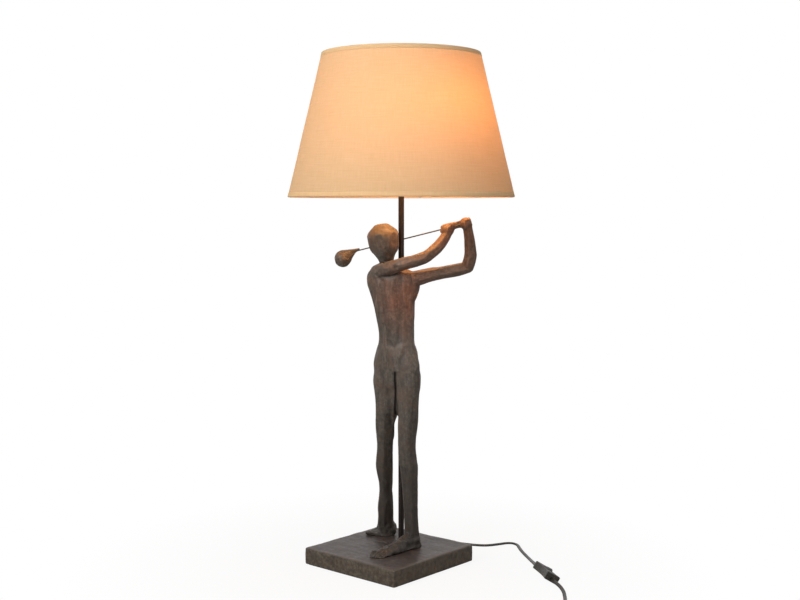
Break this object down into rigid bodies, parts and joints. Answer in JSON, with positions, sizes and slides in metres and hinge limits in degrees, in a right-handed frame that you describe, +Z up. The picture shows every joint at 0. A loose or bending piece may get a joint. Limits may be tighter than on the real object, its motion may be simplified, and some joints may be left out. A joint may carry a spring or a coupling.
{
  "type": "figural table lamp",
  "caption": "Table lamp with a faceless golfer in a full swing finish on a square plinth, a pipe behind it and a tapered linen shade, with an inline switch on its cord.",
  "frame": {"origin": "centre of the plinth's underside, on the surface that the lamp stands on", "axes": "+Z up along the pipe; the figure's feet point to -Y, and its left hand side is +X"},
  "size_m": [0.647, 0.3512, 0.7856],
  "materials": {
    "dark_resin": "cast resin, carved look, dark brown-grey patina",
    "felt": "dark felt",
    "steel": "zinc-plated steel",
    "black_pipe": "dark bronze lacquer",
    "club_wire": "drawn steel wire",
    "black_plastic": "moulded phenolic",
    "ceramic": "glazed porcelain",
    "brass": "pressed brass",
    "linen": "slub linen on a stiff lining",
    "white_wire": "white lacquered wire",
    "trim_tape": "folded linen tape",
    "cord_rubber": "soft black sleeve",
    "cord_pvc": "black flat cord",
    "switch_plastic": "black moulded plastic",
    "pin_metal": "nickel-plated brass",
    "bulb_glass": "opal glass",
    "bulb_metal": "rolled aluminium"
  },
  "bodies": {
    "lamp": {"base_plinth": "dark_resin", "base_felt": "felt", "pole_washer": "steel", "pole_nut": "steel", "pole_tube": "black_pipe", "figure_body": "dark_resin", "figure_head": "dark_resin", "figure_right_arm": "dark_resin", "figure_left_arm": "dark_resin", "club_shaft": "club_wire", "club_head": "dark_resin", "holder_cap": "black_plastic", "holder_skirt": "black_plastic", "holder_core": "ceramic", "holder_contacts": "brass", "clamp_ring": "black_plastic", "shade_fabric": "linen", "shade_hub": "white_wire", "shade_arms": "white_wire", "shade_bottom_ring": "white_wire", "shade_top_ring": "white_wire", "shade_bottom_trim": "trim_tape", "shade_top_trim": "trim_tape", "cord_relief": "cord_rubber", "inner_cord": "cord_pvc", "cord_lead": "cord_pvc", "cord_tail": "cord_pvc", "cord_coil": "cord_pvc", "cord_end": "cord_pvc", "switch_upper_shell": "switch_plastic", "switch_lower_shell": "switch_plastic", "switch_terminals": "brass", "switch_screws": "steel", "plug_body": "switch_plastic", "plug_pins": "pin_metal"},
    "rocker": {"switch_rocker": "switch_plastic"},
    "bulb": {"bulb_glass": "bulb_glass", "bulb_cap": "bulb_metal", "bulb_contact": "brass"}
  },
  "joints": [
    {"name": "switch_rock", "type": "hinge", "parent": "lamp", "child": "rocker", "pos_m": [0.23027, 0.08976, 0.00863], "axis": [0.5114, 0.6811, -0.524], "range_deg": [0, 24]},
    {"name": "bulb_turn", "type": "hinge", "parent": "lamp", "child": "bulb", "pos_m": [-0.014, 0.044, 0.68], "axis": [0, 0, 1], "continuous": true}
  ]
}
